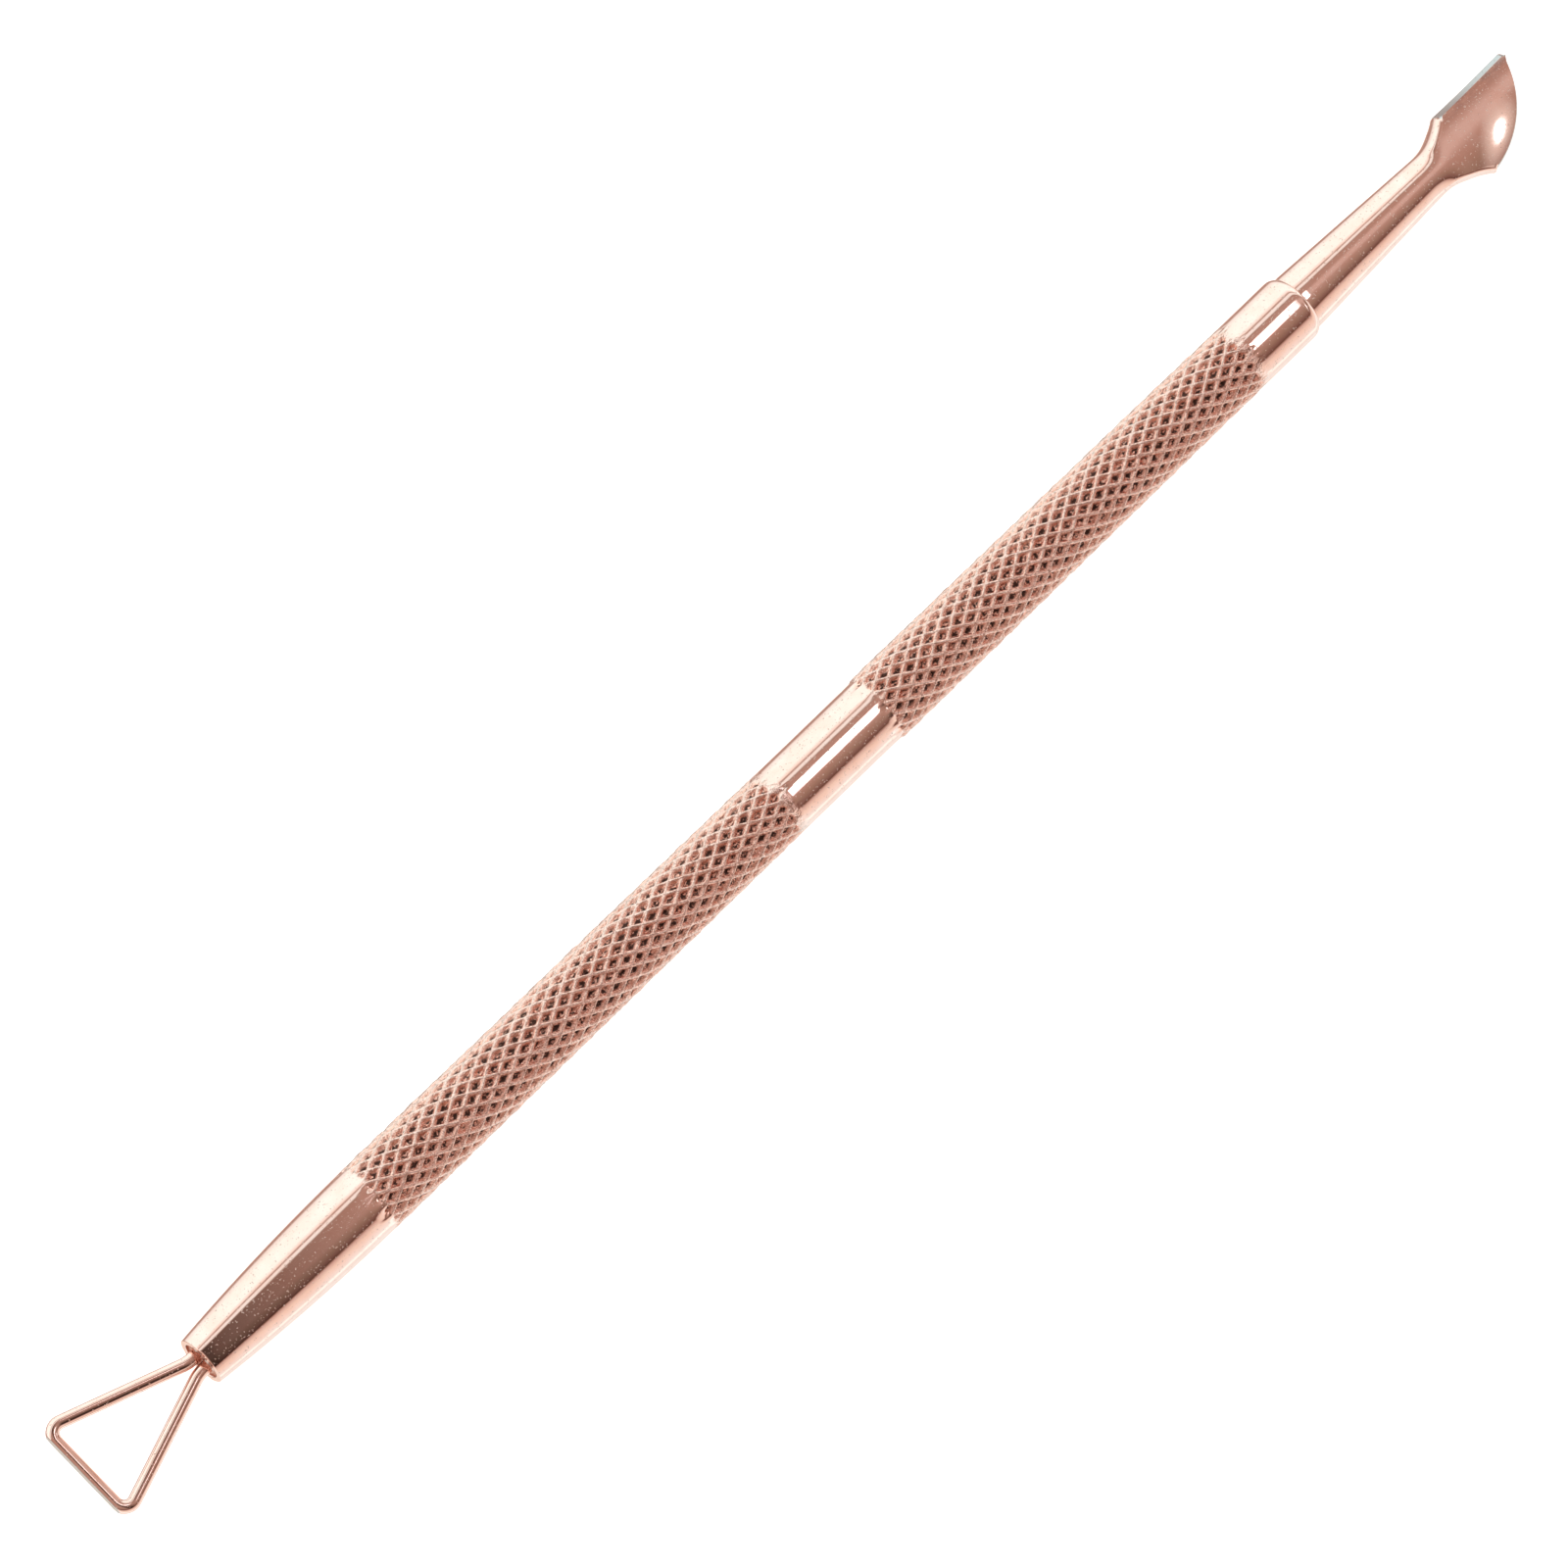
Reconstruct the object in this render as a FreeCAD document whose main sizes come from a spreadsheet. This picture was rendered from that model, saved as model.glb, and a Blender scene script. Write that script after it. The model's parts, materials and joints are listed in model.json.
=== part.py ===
import FreeCAD, Part
import math
import os
import Sketcher

# Double-ended cuticle pusher: a hollow knurled handle with a dished pusher blade pressed into one
# end and a bent wire scraper loop brazed into the other.  Millimetres.
# Origin: on the handle axis, at the middle of the smooth centre band.
# +X runs along the axis towards the pusher blade, the wire loop lies flat in the XY plane, +Z up.

DIMS = {
    # handle tube, lengths along the axis
    "band_len": 9.3,
    "knurl_loop_len": 37.6,
    "knurl_blade_len": 34.6,
    "nose_len": 15.05,
    "collar_len": 5.6,
    # handle tube, radii
    "band_radius": 2.40,
    "nose_root_radius": 2.50,
    "nose_end_radius": 1.78,
    "crest_thick_radius": 2.55,
    "crest_thin_radius": 2.44,
    "collar_shoulder_len": 0.65,
    "collar_shoulder_bulge": 0.09,
    "collar_face_radius": 2.13,
    "bore_radius": 1.80,
    "mouth_radius": 1.36,
    "mouth_taper_len": 12.0,
    # pusher tip
    "spigot_len": 9.0,
    "spigot_chamfer": 0.35,
    "shank_len": 12.05,
    "neck_radius": 1.60,
    "blade_len": 11.25,
    "blade_roll": 6.0,
    "back_arc_long": 24.0,
    "back_arc_cross": 8.0,
    "side_round": 0.55,
    "upper_corner_at": 3.75,
    "upper_corner_out": 2.58,
    "lower_corner_at": 4.60,
    "lower_corner_out": 2.92,
    "upper_edge_out": 2.50,
    "tip_round": 0.42,
    "belly_bulge": 1.12,
    # wire loop
    "wire_radius": 0.46,
    "leg_gap": 0.06,
    "loop_reach": 10.55,
    "loop_half_width": 3.90,
    "corner_bend": 0.80,
    "throat_bend": 2.6,
    "throat_len": 0.25,
    "leg_depth": 7.0,
    "ground_depth": 0.20,
    # braze around the wire legs
    "braze_recess": 0.35,
    "braze_len": 5.0,
}

# Ribs of the forged blade blank: distance from the neck, reach to the upper and the lower side of
# the axis, thickness on the centre line, and how far the underside is hollowed (below 0: round).
RIBS = [
    (1.9, 1.77, 1.86, 2.65, -0.40),
    (3.8, 2.64, 2.50, 1.72, 0.10),
    (5.7, 3.60, 3.50, 1.12, 0.45),
    (7.6, 4.05, 4.00, 0.80, 0.68),
    (9.5, 4.15, 4.10, 0.58, 0.75),
    (11.4, 4.15, 4.10, 0.42, 0.75),
]
for number, rib in enumerate(RIBS, start=1):
    for word, value in zip(("at", "upper", "lower", "thick", "hollow"), rib, strict=True):
        DIMS[f"rib{number}_{word}"] = value

doc = FreeCAD.newDocument("cuticle_pusher")
sheet = doc.addObject("Spreadsheet::Sheet", "dims")
for row, (word, value) in enumerate(DIMS.items(), start=1):
    sheet.set(f"A{row}", word)
    sheet.set(f"B{row}", str(value))
    sheet.setAlias(f"B{row}", word)
doc.recompute()

# Stations along the axis, as expressions in the sheet's words
BAND_LOOP_END = "(-dims.band_len / 2)"
NOSE_ROOT = f"({BAND_LOOP_END} - dims.knurl_loop_len)"
MOUTH = f"({NOSE_ROOT} - dims.nose_len)"
LOOP_END = f"({MOUTH} - dims.loop_reach)"
BAND_BLADE_END = "(dims.band_len / 2)"
COLLAR_ROOT = f"({BAND_BLADE_END} + dims.knurl_blade_len)"
SEAM = f"({COLLAR_ROOT} + dims.collar_len)"
NECK = f"({SEAM} + dims.shank_len)"
TIP = f"({NECK} + dims.blade_len)"


def value_of(expression):
    return float(sheet.evalExpression(expression))


def origin_plane(body, role):
    for feature in body.Origin.OriginFeatures:
        if feature.Role == role:
            return feature
    raise ValueError(role)


def new_body(name):
    body = doc.addObject("PartDesign::Body", name)
    body.Label = name
    return body


def new_sketch(body, role, name, offset=None):
    """A sketch on one of the body's origin planes, moved along the plane's normal by an expression."""
    sketch = body.newObject("Sketcher::SketchObject", name)
    sketch.AttachmentSupport = (origin_plane(body, role), [""])
    sketch.MapMode = "FlatFace"
    if offset:
        sketch.setExpression(".AttachmentOffset.Base.z", offset)
    return sketch


def pin_point(sketch, geometry, end, x, y):
    """Fix one end of a curve at two expressions, measured from the sketch origin."""
    for kind, expression in (("DistanceX", x), ("DistanceY", y)):
        index = sketch.addConstraint(
            Sketcher.Constraint(kind, -1, 1, geometry, end, value_of(expression))
        )
        word = f"{kind[-1].lower()}_{geometry}"
        sketch.renameConstraint(index, word)
        sketch.setExpression(f"Constraints.{word}", expression)


def bulge_middle(start, end, bulge):
    """The middle point of an arc that stands off its chord by bulge, to the left of travel."""
    chord = end.sub(start)
    left = FreeCAD.Vector(-chord.y, chord.x, 0).normalize()
    return (start + end) * 0.5 + left * bulge


def add_arc(sketch, start, middle, end):
    """Add an arc, always drawn anticlockwise; True if start is its first end."""
    first = middle.sub(start)
    second = end.sub(middle)
    forward = first.x * second.y - first.y * second.x > 0
    if forward:
        sketch.addGeometry(Part.Arc(start, middle, end))
    else:
        sketch.addGeometry(Part.Arc(end, middle, start))
    return forward


def draw(sketch, outline):
    """Draw a closed chain of (x, y, bulge) corners; the bulge shapes the edge leaving the corner."""
    corners = [FreeCAD.Vector(value_of(x), value_of(y), 0) for x, y, _ in outline]
    count = len(outline)
    ends = []
    for i in range(count):
        j = (i + 1) % count
        bulge = outline[i][2]
        forward = True
        if bulge is None:
            sketch.addGeometry(Part.LineSegment(corners[i], corners[j]))
        else:
            middle = bulge_middle(corners[i], corners[j], value_of(bulge))
            forward = add_arc(sketch, corners[i], middle, corners[j])
        ends.append((1, 2) if forward else (2, 1))
    for i in range(count):
        j = (i + 1) % count
        pin_point(sketch, i, ends[i][0], outline[i][0], outline[i][1])
        sketch.addConstraint(Sketcher.Constraint("Coincident", i, ends[i][1], j, ends[j][0]))
        if outline[i][2] is not None:
            bind_radius(sketch, i, outline[i], outline[j])


def bind_radius(sketch, geometry, start, end):
    """The radius of an arc from its chord and bulge, kept as an expression."""
    run = f"({end[0]} - {start[0]})"
    rise = f"({end[1]} - {start[1]})"
    chord_squared = f"({run} * {run} + {rise} * {rise})"
    bulge = f"abs({start[2]})"
    radius = f"({chord_squared} / 4 + {bulge} * {bulge}) / (2 * {bulge})"
    index = sketch.addConstraint(Sketcher.Constraint("Radius", geometry, value_of(radius)))
    word = f"radius_{geometry}"
    sketch.renameConstraint(index, word)
    sketch.setExpression(f"Constraints.{word}", radius)


def revolve_about_x(body, sketch, name):
    turned = body.newObject("PartDesign::Revolution", name)
    turned.Profile = sketch
    turned.ReferenceAxis = (sketch, ["H_Axis"])
    turned.Angle = 360
    return turned


def pocket_both_ways(body, sketch, solid, name):
    """Cut a sketch right through, both ways from its plane; solid is the feature it cuts."""
    pocket = body.newObject("PartDesign::Pocket", name)
    pocket.Profile = sketch
    pocket.SideType = "Symmetric"
    pocket.Length = 16
    doc.recompute()
    if not pocket.Shape.Volume < solid.Shape.Volume:
        raise ValueError(f"{name} removed nothing")
    return pocket


def handle_tube():
    """A drawn tube: swaged nose, two knurled grips raised by the knurling roll, plain band, collar."""
    body = new_body("handle_tube")
    profile = new_sketch(body, "XY_Plane", "tube_section")
    # an arc that leaves its start parallel to the axis stands off its chord by a quarter of the drop
    nose_drop = "(dims.nose_root_radius - dims.nose_end_radius)"
    shoulder_start = f"({SEAM} - dims.collar_shoulder_len)"
    outline = [
        (MOUTH, "dims.mouth_radius", None),
        (f"({MOUTH} + dims.mouth_taper_len)", "dims.bore_radius", None),
        (SEAM, "dims.bore_radius", None),
        (SEAM, "dims.collar_face_radius", "(-dims.collar_shoulder_bulge)"),
        (shoulder_start, "dims.band_radius", None),
        (COLLAR_ROOT, "dims.band_radius", None),
        (COLLAR_ROOT, "dims.crest_thin_radius", None),
        (BAND_BLADE_END, "dims.crest_thick_radius", None),
        (BAND_BLADE_END, "dims.band_radius", None),
        (BAND_LOOP_END, "dims.band_radius", None),
        (BAND_LOOP_END, "dims.crest_thin_radius", None),
        (NOSE_ROOT, "dims.crest_thick_radius", None),
        (NOSE_ROOT, "dims.nose_root_radius", f"(-{nose_drop} / 4)"),
        (MOUTH, "dims.nose_end_radius", None),
    ]
    draw(profile, outline)
    doc.recompute()
    revolve_about_x(body, profile, "tube")
    doc.recompute()
    return body


def rib_outline(number):
    """One closed section of the blade blank: back arc, rounded side, underside arc, rounded side."""
    word = f"dims.rib{number}_"
    span = f"(({word}upper + {word}lower) / 2 - dims.side_round)"
    crown = f"(dims.neck_radius - {word}at * {word}at / (2 * dims.back_arc_long))"
    drop = f"({span} * {span} / (2 * dims.back_arc_cross))"
    back = f"({crown} - {drop})"
    under = f"({crown} - {word}thick - {word}hollow)"
    left = f"({word}upper - dims.side_round)"
    right = f"(dims.side_round - {word}lower)"
    side = "(-dims.side_round)"
    return [
        (left, back, f"(-{drop})"),
        (right, back, side),
        (right, under, f"{word}hollow"),
        (left, under, side),
    ]


def neck_outline():
    """The round neck, as four quarter arcs that match the ribs' four edges."""
    reach = "(dims.neck_radius * sqrt(0.5))"
    bulge = "(-dims.neck_radius * (1 - sqrt(0.5)))"
    return [
        (reach, reach, bulge),
        (f"(-{reach})", reach, bulge),
        (f"(-{reach})", f"(-{reach})", bulge),
        (reach, f"(-{reach})", bulge),
    ]


def pusher_tip():
    """One forging: spigot in the tube, tapered shank, flared blade hollowed underneath."""
    body = new_body("pusher_tip")
    turned = new_sketch(body, "XY_Plane", "shank_section")
    spigot_end = f"({SEAM} - dims.spigot_len)"
    outline = [
        (spigot_end, "0", None),
        (NECK, "0", None),
        (NECK, "dims.neck_radius", None),
        (SEAM, "dims.collar_face_radius", None),
        (SEAM, "dims.bore_radius", None),
        (f"({spigot_end} + dims.spigot_chamfer)", "dims.bore_radius", None),
        (spigot_end, "(dims.bore_radius - dims.spigot_chamfer)", None),
    ]
    draw(turned, outline)
    doc.recompute()
    revolve_about_x(body, turned, "shank")
    doc.recompute()

    neck = new_sketch(body, "YZ_Plane", "neck_rib", NECK)
    draw(neck, neck_outline())
    ribs = []
    for number in range(1, len(RIBS) + 1):
        rib = new_sketch(body, "YZ_Plane", f"rib_{number}", f"({NECK} + dims.rib{number}_at)")
        draw(rib, rib_outline(number))
        ribs.append(rib)
    doc.recompute()
    blank = body.newObject("PartDesign::AdditiveLoft", "blade_blank")
    blank.Profile = neck
    blank.Sections = ribs
    blank.Ruled = False
    doc.recompute()

    trim = new_sketch(body, "XY_Plane", "blade_trim")
    upper_at = f"({NECK} + dims.upper_corner_at)"
    lower_at = f"({NECK} + dims.lower_corner_at)"
    beyond = f"({TIP} + 3)"
    round_drop = "(dims.upper_edge_out - dims.tip_round)"
    outline = [
        (upper_at, "dims.upper_corner_out", None),
        (f"({TIP} - dims.tip_round)", "dims.upper_edge_out", "(-dims.tip_round * 0.2)"),
        (TIP, round_drop, "(-dims.belly_bulge)"),
        (lower_at, "(-dims.lower_corner_out)", None),
        (lower_at, "(-6)", None),
        (beyond, "(-6)", None),
        (beyond, "6", None),
        (upper_at, "6", None),
    ]
    draw(trim, outline)
    doc.recompute()
    pocket_both_ways(body, trim, blank, "blade_outline")

    body.Placement = FreeCAD.Placement(FreeCAD.Vector(), FreeCAD.Rotation(FreeCAD.Vector(1, 0, 0), 0))
    body.setExpression(".Placement.Rotation.Angle", "dims.blade_roll")
    doc.recompute()
    return body


def scraper_loop():
    """Spring wire: two legs side by side in the nose, bent out to a triangle with a ground base."""
    body = new_body("scraper_loop")
    leg = "(dims.wire_radius + dims.leg_gap / 2)"
    throat = f"({MOUTH} - dims.throat_len)"
    base = f"({LOOP_END} + dims.wire_radius - dims.ground_depth)"
    inner_end = f"({MOUTH} + dims.leg_depth)"
    corner_y = "(dims.loop_half_width - dims.wire_radius - dims.corner_bend)"
    r_throat = value_of("dims.throat_bend")
    r_corner = value_of("dims.corner_bend")
    run = value_of(throat) - value_of(base) - r_corner
    rise = value_of(corner_y) - value_of(leg) - r_throat
    span = math.sqrt(run**2 + rise**2 - (r_throat + r_corner) ** 2)
    slope = math.atan2(rise, run) + math.atan2(r_throat + r_corner, span)
    path = new_sketch(body, "XY_Plane", "wire_path")
    draw_wire(path, value_of(inner_end), value_of(throat), value_of(base), slope, span)
    constrain_wire(path, inner_end, throat, base, leg, corner_y)
    section = new_sketch(body, "YZ_Plane", "wire_section", inner_end)
    centre = FreeCAD.Vector(-value_of(leg), 0, 0)
    section.addGeometry(Part.Circle(centre, FreeCAD.Vector(0, 0, 1), value_of("dims.wire_radius")))
    section.addConstraint(Sketcher.Constraint("PointOnObject", 0, 3, -1))
    for word, kind, expression in (
        ("across", Sketcher.Constraint("DistanceX", -1, 1, 0, 3, -value_of(leg)), f"(-{leg})"),
        ("radius", Sketcher.Constraint("Radius", 0, value_of("dims.wire_radius")), "dims.wire_radius"),
    ):
        index = section.addConstraint(kind)
        section.renameConstraint(index, word)
        section.setExpression(f"Constraints.{word}", expression)
    doc.recompute()
    wire = body.newObject("PartDesign::AdditivePipe", "bent_wire")
    wire.Profile = section
    wire.Spine = (path, [])
    doc.recompute()
    grind = new_sketch(body, "XY_Plane", "ground_flat")
    draw(
        grind,
        [
            (LOOP_END, "(-6)", None),
            (LOOP_END, "6", None),
            (f"({LOOP_END} - 2)", "6", None),
            (f"({LOOP_END} - 2)", "(-6)", None),
        ],
    )
    doc.recompute()
    pocket_both_ways(body, grind, wire, "ground_base")
    return body


def draw_wire(path, inner_end, throat, base, slope, span):
    """The wire's centre line from one leg end round the triangle to the other, as lines and arcs."""
    leg = value_of("dims.wire_radius + dims.leg_gap / 2")
    r_throat = value_of("dims.throat_bend")
    r_corner = value_of("dims.corner_bend")
    corner_y = value_of("dims.loop_half_width - dims.wire_radius - dims.corner_bend")
    up = FreeCAD.Vector(0, 0, 1)
    for side in (-1, 1):
        out = FreeCAD.Vector(math.sin(slope), side * math.cos(slope), 0)
        throat_centre = FreeCAD.Vector(throat, side * (leg + r_throat), 0)
        corner_centre = FreeCAD.Vector(base + r_corner, side * corner_y, 0)
        leg_end = FreeCAD.Vector(inner_end, side * leg, 0)
        bend_start = FreeCAD.Vector(throat, side * leg, 0)
        bend_end = throat_centre.sub(out * r_throat)
        corner_start = corner_centre.add(out * r_corner)
        corner_end = FreeCAD.Vector(base, side * corner_y, 0)
        half = math.sin(slope / 2)
        bend_middle = throat_centre.sub(
            FreeCAD.Vector(half, side * math.cos(slope / 2), 0) * r_throat
        )
        turn = (math.pi / 2 + slope) / 2
        middle_angle = math.pi - turn
        corner_middle = corner_centre.add(
            FreeCAD.Vector(math.cos(middle_angle), side * math.sin(middle_angle), 0) * r_corner
        )
        path.addGeometry(Part.LineSegment(leg_end, bend_start))
        add_arc(path, bend_start, bend_middle, bend_end)
        path.addGeometry(Part.LineSegment(bend_end, corner_start))
        add_arc(path, corner_start, corner_middle, corner_end)
    path.addGeometry(
        Part.LineSegment(FreeCAD.Vector(base, -corner_y, 0), FreeCAD.Vector(base, corner_y, 0))
    )


def end_at(curve, point):
    return 1 if curve.StartPoint.distanceToPoint(point) < 1e-4 else 2


def constrain_wire(path, inner_end, throat, base, leg, corner_y):
    """Tangent joints along the wire, with its bends, legs and base set from the sheet."""
    curves = path.Geometry
    order = [(0, 1), (1, 2), (2, 3), (4, 5), (5, 6), (6, 7), (3, 8), (7, 8)]
    for first, second in order:
        shared = shared_point(curves[first], curves[second])
        path.addConstraint(
            Sketcher.Constraint(
                "Tangent", first, end_at(curves[first], shared), second, end_at(curves[second], shared)
            )
        )
    rules = []
    for side, start in ((-1, 0), (1, 4)):
        word = "lower" if side < 0 else "upper"
        sign = "-" if side < 0 else ""
        path.addConstraint(Sketcher.Constraint("Horizontal", start))
        rules.append((f"{word}_leg_end", "DistanceX", start, 1, inner_end))
        rules.append((f"{word}_leg_out", "DistanceY", start, 1, f"({sign}{leg})"))
        rules.append((f"{word}_throat", "DistanceX", start, 2, throat))
        rules.append((f"{word}_corner_out", "DistanceY", start + 3, 3, f"({sign}{corner_y})"))
    path.addConstraint(Sketcher.Constraint("Vertical", 8))
    rules.append(("base_at", "DistanceX", 8, 1, base))
    for word, kind, geometry, point, expression in rules:
        index = path.addConstraint(
            Sketcher.Constraint(kind, -1, 1, geometry, point, value_of(expression))
        )
        path.renameConstraint(index, word)
        path.setExpression(f"Constraints.{word}", expression)
    for geometry, radius in ((1, "throat_bend"), (5, "throat_bend"), (3, "corner_bend"), (7, "corner_bend")):
        index = path.addConstraint(
            Sketcher.Constraint("Radius", geometry, value_of(f"dims.{radius}"))
        )
        path.renameConstraint(index, f"bend_{geometry}")
        path.setExpression(f"Constraints.bend_{geometry}", f"dims.{radius}")


def shared_point(first, second):
    for a in (first.StartPoint, first.EndPoint):
        for b in (second.StartPoint, second.EndPoint):
            if a.distanceToPoint(b) < 1e-4:
                return a
    raise ValueError("the wire's curves do not meet")


def loop_braze():
    """Braze that fills the nose bore around the two wire legs, set back a little from the mouth."""
    taper = "(dims.bore_radius - dims.mouth_radius) / dims.mouth_taper_len"
    start = f"({MOUTH} + dims.braze_recess)"
    plug = doc.addObject("Part::Cone", "braze_fill")
    plug.setExpression("Radius1", f"dims.mouth_radius + {taper} * dims.braze_recess")
    plug.setExpression("Radius2", f"dims.mouth_radius + {taper} * (dims.braze_recess + dims.braze_len)")
    plug.setExpression("Height", "dims.braze_len")
    along_x = FreeCAD.Rotation(FreeCAD.Vector(0, 1, 0), 90)
    plug.Placement = FreeCAD.Placement(FreeCAD.Vector(), along_x)
    plug.setExpression(".Placement.Base.x", start)
    legs = []
    for word, side in (("lower", "-1"), ("upper", "1")):
        hole = doc.addObject("Part::Cylinder", f"{word}_leg_space")
        hole.setExpression("Radius", "dims.wire_radius")
        hole.setExpression("Height", "dims.braze_len + 2")
        hole.Placement = FreeCAD.Placement(FreeCAD.Vector(), along_x)
        hole.setExpression(".Placement.Base.x", f"{start} - 1")
        hole.setExpression(".Placement.Base.y", f"{side} * (dims.wire_radius + dims.leg_gap / 2)")
        legs.append(hole)
    spaces = doc.addObject("Part::MultiFuse", "leg_spaces")
    spaces.Shapes = legs
    filled = doc.addObject("Part::Cut", "loop_braze")
    filled.Base = plug
    filled.Tool = spaces
    filled.Label = "loop_braze"
    doc.recompute()
    return filled


def main():
    pieces = [handle_tube(), pusher_tip(), scraper_loop(), loop_braze()]
    doc.recompute()
    for item in doc.Objects:
        if "Invalid" in item.State or "Error" in item.State:
            raise ValueError(f"{item.Name}: {item.State}")
    os.makedirs("parts", exist_ok=True)
    for piece in pieces:
        shape = piece.Shape
        if shape.isNull() or not shape.isValid() or len(shape.Solids) != 1:
            raise ValueError(f"{piece.Label} is not one valid solid")
        shape.exportStep(f"parts/{piece.Label}.step")
        box = shape.BoundBox
        print(piece.Label, round(shape.Volume, 2), box)


main()
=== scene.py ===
import json
import math
from collections import namedtuple

import bmesh
import bpy
import numpy as np
from mathutils import Matrix, Vector, noise


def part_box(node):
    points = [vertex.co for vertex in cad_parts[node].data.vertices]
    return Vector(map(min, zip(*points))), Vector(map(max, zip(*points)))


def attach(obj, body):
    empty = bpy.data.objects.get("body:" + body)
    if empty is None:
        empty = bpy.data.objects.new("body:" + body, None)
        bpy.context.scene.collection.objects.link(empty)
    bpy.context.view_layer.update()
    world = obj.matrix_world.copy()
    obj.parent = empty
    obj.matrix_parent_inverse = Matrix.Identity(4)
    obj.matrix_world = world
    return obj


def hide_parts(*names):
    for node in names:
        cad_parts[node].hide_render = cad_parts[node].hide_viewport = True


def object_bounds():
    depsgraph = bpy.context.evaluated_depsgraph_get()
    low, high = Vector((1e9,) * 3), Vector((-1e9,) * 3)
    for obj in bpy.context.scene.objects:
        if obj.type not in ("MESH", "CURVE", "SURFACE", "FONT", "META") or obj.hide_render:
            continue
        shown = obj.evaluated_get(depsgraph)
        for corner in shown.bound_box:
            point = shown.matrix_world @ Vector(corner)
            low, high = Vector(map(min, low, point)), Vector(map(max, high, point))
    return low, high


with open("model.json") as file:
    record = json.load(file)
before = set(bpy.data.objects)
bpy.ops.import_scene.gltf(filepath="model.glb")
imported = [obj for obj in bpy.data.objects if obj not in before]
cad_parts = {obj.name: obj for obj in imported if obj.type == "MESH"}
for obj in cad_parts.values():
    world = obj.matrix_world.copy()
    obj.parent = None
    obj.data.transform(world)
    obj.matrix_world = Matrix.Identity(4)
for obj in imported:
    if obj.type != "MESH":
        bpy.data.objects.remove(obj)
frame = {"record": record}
cad_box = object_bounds()

MM = 0.001


def in_mm(metres):
    """A CAD measure in millimetres, to the hundredth it was drawn to."""
    return round(metres / MM, 2)


# Stations along the tool's axis, millimetres, +X towards the blade
HANDLE_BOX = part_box("handle_tube")
BAND_MOUNT = frame["record"]["mounts"][0]["dims"]
BAND = BAND_MOUNT["length_mm"] / 2
NOSE_ROOT = -42.25
MOUTH = in_mm(HANDLE_BOX[0][0])
LOOP_END = in_mm(cad_box[0][0])
COLLAR_ROOT = 39.25
SEAM = in_mm(HANDLE_BOX[1][0])
NECK = 56.90

# Handle radii
BAND_R = BAND_MOUNT["r_mm"]
NOSE_ROOT_R = 2.50
NOSE_END_R = 1.78
MOUTH_R = 1.36
BORE_R = 1.80
CREST_THICK_R = 2.55
CREST_THIN_R = 2.44
COLLAR_FACE_R = 2.13

# Knurl: crossing helical crests round the handle
STARTS = 16
CELL = 10
COLUMNS = STARTS * CELL
TURNS = 2 * math.pi * np.arange(COLUMNS) / COLUMNS
PIT_DEPTH = 0.33
LOOP_SIDE_PITCH = 1.62
BLADE_SIDE_PITCH = 1.52

# Pusher tip: distances from the neck, and reaches to each side of the axis
NECK_R = 1.60
BACK_ARC_LONG = 29.6
SHANK_TAPER = 0.044
BACK_ARC_CROSS = 8.0
BLADE_ROLL = math.radians(6.0)
BLADE_LENGTH = 11.25
UPPER_CORNER_AT = 3.75
UPPER_CORNER_OUT = 2.58
UPPER_EDGE_LEAN = 0.08
TIP_ROUND = 0.42
LOWER_CORNER_AT = 4.6
LOWER_CORNER_OUT = 2.92
BELLY_BULGE = 1.12
BEVEL = 0.26
LAND = 0.05
SIDE_POINTS = 14
TOP_POINTS = 44

# Wire loop
WIRE_R = 0.46
LEG_OUT = 0.49
THROAT = 0.25
THROAT_BEND = 2.6
CORNER_BEND = 0.80
LOOP_HALF_WIDTH = 3.90
GROUND_DEPTH = 0.20

# Depth of the braze, and of the modelled part of the wire legs, behind the mouth
BRAZE_DEPTH = 5.0


def smoothstep(low, high, value):
    t = np.clip((value - low) / (high - low), 0.0, 1.0)
    return t * t * (3 - 2 * t)


def add_mesh(name, points, faces, crease=None):
    """A mesh object from millimetre points; faces may mix triangles and quads."""
    mesh = bpy.data.meshes.new(name)
    mesh.from_pydata([tuple(p) for p in np.asarray(points) * MM], [], faces)
    mesh.validate()
    work = bmesh.new()
    work.from_mesh(mesh)
    bmesh.ops.recalc_face_normals(work, faces=work.faces)
    work.to_mesh(mesh)
    work.free()
    mesh.polygons.foreach_set("use_smooth", [True] * len(mesh.polygons))
    if crease:
        mesh.set_sharp_from_angle(angle=math.radians(crease))
    piece = bpy.data.objects.new(name, mesh)
    bpy.context.scene.collection.objects.link(piece)
    return piece


def ring_faces(rings, columns, closed_rows=False):
    """Quads between neighbouring closed rings of points."""
    rows = np.arange(rings if closed_rows else rings - 1)
    i, j = np.meshgrid(rows, np.arange(columns), indexing="ij")
    i2 = (i + 1) % rings
    j2 = (j + 1) % columns
    corners = [i * columns + j, i * columns + j2, i2 * columns + j2, i2 * columns + j]
    return np.stack(corners, -1).reshape(-1, 4).tolist()


def capped_faces(rings, columns):
    """The quads between rings, and one face over each end."""
    last = (rings - 1) * columns
    first_cap = list(range(columns))
    last_cap = list(range(last, last + columns))
    return ring_faces(rings, columns) + [first_cap, last_cap]


def set_point_value(piece, name, values):
    layer = piece.data.attributes.new(name, "FLOAT", "POINT")
    layer.data.foreach_set("value", np.asarray(values, dtype=np.float32))


def ripple(x, angle, scale, seed):
    """Smooth noise on the handle's surface, one value for each place."""
    out = np.empty(len(x))
    for i, (along, turn) in enumerate(zip(x, angle)):
        across = math.cos(turn) * BAND_R * scale
        upwards = math.sin(turn) * BAND_R * scale + seed
        out[i] = noise.noise(Vector((along * scale, across, upwards)))
    return out


# ---------------------------------------------------------------- handle


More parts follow.
